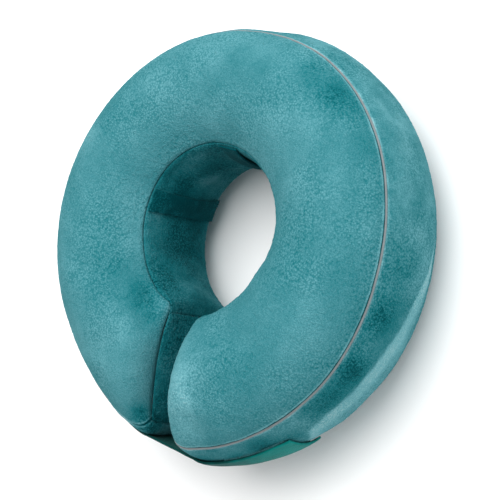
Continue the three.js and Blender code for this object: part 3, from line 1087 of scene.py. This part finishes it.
class COLLAR_OT_stage(bpy.types.Operator):
    """Set up the floor, the soft studio lights and the camera"""

    bl_idname = "collar.stage"
    bl_label = "Stage"

    def execute(self, context):
        settings = context.scene.collar_stage
        self.lay_floor(settings)
        axes = self.aim_camera(context.scene, settings)
        self.hang_lights(context.scene, settings, axes)
        return {"FINISHED"}

    def lay_floor(self, settings):
        bm = bmesh.new()
        bmesh.ops.create_grid(bm, x_segments=8, y_segments=8, size=FLOOR_REACH)
        mesh = bpy.data.meshes.new("floor")
        bm.to_mesh(mesh)
        bm.free()
        floor = bpy.data.objects.new("floor", mesh)
        floor.data.materials.append(floor_material(settings.floor_color))
        bpy.context.scene.collection.objects.link(floor)

    def aim_camera(self, scene, settings):
        to_camera = Vector((
            math.sin(settings.tilt) * math.cos(settings.bearing),
            math.sin(settings.tilt) * math.sin(settings.bearing),
            math.cos(settings.tilt),
        ))
        upright = Vector((-math.sin(settings.roll), math.cos(settings.roll), 0))
        right = upright.cross(to_camera).normalized()
        up = to_camera.cross(right)
        turn = Matrix.Rotation(-settings.turn, 3, "Z")
        axes = turn @ Matrix((right, up, to_camera)).transposed()
        place = to_camera * settings.distance - Vector((settings.side_step, 0, 0))
        data = bpy.data.cameras.new("camera")
        data.lens = settings.focal_length
        data.sensor_width = SENSOR_WIDTH
        data.shift_x, data.shift_y = settings.frame_shift
        camera = bpy.data.objects.new("camera", data)
        camera.matrix_world = Matrix.Translation(turn @ place + NECK_AXIS * MM) @ axes.to_4x4()
        scene.collection.objects.link(camera)
        scene.camera = camera
        scene.view_settings.view_transform = "Standard"
        return axes

    def hang_lights(self, scene, settings, axes):
        self.hang_light("key", settings.key_power, KEY_SIZE, axes @ KEY_PLACE)
        self.hang_light("fill", settings.fill_power, FILL_SIZE, axes @ FILL_PLACE)
        world = bpy.data.worlds.new("room")
        world.use_nodes = True
        background = world.node_tree.nodes["Background"]
        background.inputs["Color"].default_value = (1, 1, 1, 1)
        background.inputs["Strength"].default_value = settings.sky
        scene.world = world

    def hang_light(self, name, power, size, place):
        data = bpy.data.lights.new(name, "AREA")
        data.energy = power
        data.size = size
        light = bpy.data.objects.new(name, data)
        light.location = place + NECK_AXIS * MM
        light.rotation_euler = place.to_track_quat("Z", "Y").to_euler()
        bpy.context.scene.collection.objects.link(light)


class COLLAR_OT_cover(bpy.types.Operator):
    """Sew the six plush panels and blow the cover up"""

    bl_idname = "collar.cover"
    bl_label = "Plush cover"

    def execute(self, context):
        cover = context.scene.collar_cover
        inflate(cover.pressure, cover.slack, cover.swell_limit / MM)
        across = spread_steps(PANEL_STEPS, PANEL_EVENNESS)
        up = spread_steps(WALL_STEPS, WALL_EVENNESS)
        grids = cover_grids(station_shares(*COVER_STATIONS), across, up)
        plush = plush_material("plush", cover)
        for side, places in grids.items():
            node = PANEL_NODES[side]
            places = sewn_panel(places, side, cover)
            mesh = grid_mesh(node + "_plush", places)
            # The pile's nap with painted light and shade, read by the plush material's colour
            set_point_value(mesh, "nap", nap_and_painted_shades(places, side))
            piece = add_piece(mesh.name, mesh, plush, "plush", node)
            add_wall(piece, cover.wall / MM)
        return {"FINISHED"}


class COLLAR_OT_piping(bpy.types.Operator):
    """Lay the cord along the seam between the front panel and the rim wall"""

    bl_idname = "collar.piping"
    bl_label = "Piping"

    def execute(self, context):
        trim = context.scene.collar_trim
        shares = station_shares(*CORD_STATIONS)[2:-2]
        path = side_places("front", shares, [1.0])[:, 0]
        path = path + inflation.read(path[:, None])[:, 0]
        along = np.gradient(path, axis=0)
        along /= np.linalg.norm(along, axis=1, keepdims=True)
        outward = -towards_core(path[:, None])[:, 0]
        outward -= along * (outward * along).sum(1, keepdims=True)
        outward /= np.linalg.norm(outward, axis=1, keepdims=True)
        side = np.cross(outward, along)
        sway = wave_noise(path[:, None], CORD_SWAY_GRAIN, 2.0) * CORD_SWAY
        dip = CORD_DIP * clamp((shares - CORD_DIP_START) / CORD_DIP_RUN)
        path = path + outward * (CORD_RISE - dip)[:, None] + side * sway
        radius = trim.cord_radius / MM * np.ones(len(path))
        radius[[0, -1]] = 0
        radius[[1, -2]] *= 0.75
        turns = np.linspace(0, FULL_TURN, CORD_SIDES + 1)[None, :, None]
        ring = outward[:, None] * np.cos(turns) + side[:, None] * np.sin(turns)
        places = path[:, None] + ring * radius[:, None, None]
        mesh = grid_mesh("piping_cord", places, weld=0.001)
        add_piece(mesh.name, mesh, piping_material(trim.cord_color), "piping_cord", "piping")
        return {"FINISHED"}


def neck_band_places(angle, slack, lean):
    """The outer face of a band across the neck wall, sewn into the two neck seams."""
    middle = share_at(math.radians(angle), NECK_SEAM_RADIUS)
    half = BAND_WIDTH / 2 / (FULL_TURN * NECK_SEAM_RADIUS)
    shares = np.linspace(middle - half, middle + half, BAND_COLUMNS)
    along = np.linspace(1 - BAND_END_SHARE, BAND_END_SHARE, BAND_ROWS)
    base = side_places("neck", shares, along).transpose(1, 0, 2)
    turn = math.radians(lean) * (1 - along)
    cos, sin = np.cos(turn)[:, None], np.sin(turn)[:, None]
    x, y = base[..., 0].copy(), base[..., 1].copy()
    base[..., 0], base[..., 1] = x * cos - y * sin, x * sin + y * cos
    outward = -base * (1, 1, 0)
    outward /= np.linalg.norm(outward, axis=-1, keepdims=True)
    sag = slack * np.sin(math.pi * np.linspace(0, 1, len(along)))[:, None]
    edge = np.abs(np.linspace(-1, 1, len(shares)))[None]
    lift = BAND_CLEARANCE + BAND_THICKNESS + sag - BAND_EDGE_DROP * edge**4
    return base + inflation.read(base) + outward * lift[..., None]


class COLLAR_OT_neck_bands(bpy.types.Operator):
    """Sew the two flat bands across the neck wall"""

    bl_idname = "collar.neck_bands"
    bl_label = "Neck bands"

    def execute(self, context):
        cloth = plush_material("band_plush", context.scene.collar_cover)
        for node, (angle, slack, lean, shade) in NECK_BANDS.items():
            places = neck_band_places(angle, slack, lean)
            mesh = grid_mesh(node + "_cloth", places)
            mottle = wave_noise(places, BAND_MOTTLE_GRAIN) * BAND_MOTTLE
            set_point_value(mesh, "nap", mottle + shade)
            piece = add_piece(mesh.name, mesh, cloth, "band_cloth", node)
            add_wall(piece, BAND_THICKNESS, CUT_EDGE)
        return {"FINISHED"}


def wall_place(turn, offsets):
    """Places on the rim wall at a turn from the middle of the split."""
    angle = turn - QUARTER_TURN
    share = share_at(angle + FULL_TURN if turn < 0 else angle, RIM_SEAM_RADIUS)
    form = form_at([min(max(share, 0.0), 1.0)])
    fine = np.linspace(0, 1, 101)
    radius, height = (values[0] for values in side_points("rim", form, fine))
    run = np.concatenate([[0], np.cumsum(np.hypot(np.diff(radius), np.diff(height)))])
    at = run[-1] / 2 + offsets
    reach = np.interp(at, run, radius) + form["rim_move"][0]
    level = np.interp(at, run, height)
    return np.stack([reach * math.cos(angle), reach * math.sin(angle), level], -1)


def strap_places(lengths):
    """Where the underside of the strap would lie flat, and its outward directions."""
    offsets = np.linspace(-STRAP_WIDTH / 2, STRAP_WIDTH / 2, STRAP_COLUMNS) + STRAP_DROP
    bridge_turn = math.radians(STRAP_BRIDGE_ANGLE)
    start, end = wall_place(-bridge_turn, offsets), wall_place(bridge_turn, offsets)
    places, directions = [], []
    for length in lengths:
        turn = length / (RIM_SEAM_RADIUS + RIM_BULGE)
        wall = wall_place(turn, offsets)
        outward = np.array((math.sin(turn), -math.cos(turn), 0))
        if abs(turn) < bridge_turn:
            bridge = mix(start, end, (turn / bridge_turn + 1) / 2)
            wall = np.where((bridge @ outward > wall @ outward)[:, None], bridge, wall)
        places.append(wall)
        directions.append(np.tile(outward, (STRAP_COLUMNS, 1)))
    return np.array(places), np.array(directions)


class COLLAR_OT_closure(bpy.types.Operator):
    """Lay the closure strap over the split and finish the hook tape under it"""

    bl_idname = "collar.closure"
    bl_label = "Closure strap"

    def execute(self, context):
        trim = context.scene.collar_trim
        lengths = np.linspace(-STRAP_SEWN_LENGTH, STRAP_FREE_LENGTH, STRAP_ROWS)
        places, outward = strap_places(lengths)
        lift = STRAP_THICKNESS + STRAP_CLEARANCE + STRAP_LIFT * clamp(
            (lengths + STRAP_SEWN_LENGTH) / STRAP_SEWN_LENGTH)
        edge = np.abs(np.linspace(-1, 1, places.shape[1]))[None]
        ripple = wave_noise(places, STRAP_RIPPLE_GRAIN, 4.0) * STRAP_RIPPLE
        swell = inflation.read(places)
        rise = lift[:, None] - STRAP_EDGE_DROP * edge**6 + ripple
        places = places + swell + outward * rise[..., None]
        mesh = grid_mesh("closure_strap_cloth", places)
        # Painted shadow: the strap darkens towards the split, where the collar's ends shade it
        shade = -clamp((STRAP_BRIGHT_LENGTH - lengths) / STRAP_SHADE_LENGTH)
        set_point_value(mesh, "nap", shade[:, None] * np.ones(places.shape[1]))
        cloth = strap_material(trim.strap_color)
        piece = add_piece(mesh.name, mesh, cloth, "strap_cloth", "closure_strap")
        add_wall(piece, STRAP_THICKNESS, CUT_EDGE)
        dress_node("fastener_patch", hook_material(trim.hook_color))
        return {"FINISHED"}


class COLLAR_OT_chamber(bpy.types.Operator):
    """Finish the film of the air chamber inside the cover"""

    bl_idname = "collar.chamber"
    bl_label = "Air chamber"

    def execute(self, context):
        dress_node("air_chamber", film_material(context.scene.collar_trim.film_color))
        return {"FINISHED"}


def dress_node(name, material):
    """Gives a CAD node a finished material in place of its plain one."""
    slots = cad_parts[name].material_slots
    if not slots:
        raise RuntimeError(f"{name} has no material slot")
    for material_slot in slots:
        material_slot.material = material


class COLLAR_PT_sidebar(bpy.types.Panel):
    """Steps and sizes of the collar"""

    bl_idname = "COLLAR_PT_sidebar"
    bl_label = "Recovery collar"
    bl_space_type = "VIEW_3D"
    bl_region_type = "UI"
    bl_category = "Collar"

    def draw(self, context):
        for step in STEPS:
            self.layout.operator(step.bl_idname)
        for name in ("collar_cover", "collar_trim", "collar_stage"):
            group = getattr(context.scene, name)
            box = self.layout.box()
            for key in group.__annotations__:
                box.prop(group, key)


STEPS = (
    COLLAR_OT_stage,
    COLLAR_OT_cover,
    COLLAR_OT_piping,
    COLLAR_OT_neck_bands,
    COLLAR_OT_closure,
    COLLAR_OT_chamber,
)
CLASSES = (
    CollarCoverSettings,
    CollarTrimSettings,
    CollarStageSettings,
    *STEPS,
    COLLAR_PT_sidebar,
)


def register():
    for cls in CLASSES:
        bpy.utils.register_class(cls)
    bpy.types.Scene.collar_cover = PointerProperty(type=CollarCoverSettings)
    bpy.types.Scene.collar_trim = PointerProperty(type=CollarTrimSettings)
    bpy.types.Scene.collar_stage = PointerProperty(type=CollarStageSettings)


def unregister():
    del bpy.types.Scene.collar_stage
    del bpy.types.Scene.collar_trim
    del bpy.types.Scene.collar_cover
    for cls in reversed(CLASSES):
        bpy.utils.unregister_class(cls)


def main():
    register()
    bpy.ops.collar.stage()
    bpy.ops.collar.cover()
    bpy.ops.collar.piping()
    bpy.ops.collar.neck_bands()
    bpy.ops.collar.closure()
    bpy.ops.collar.chamber()


if __name__ == "__main__":
    main()
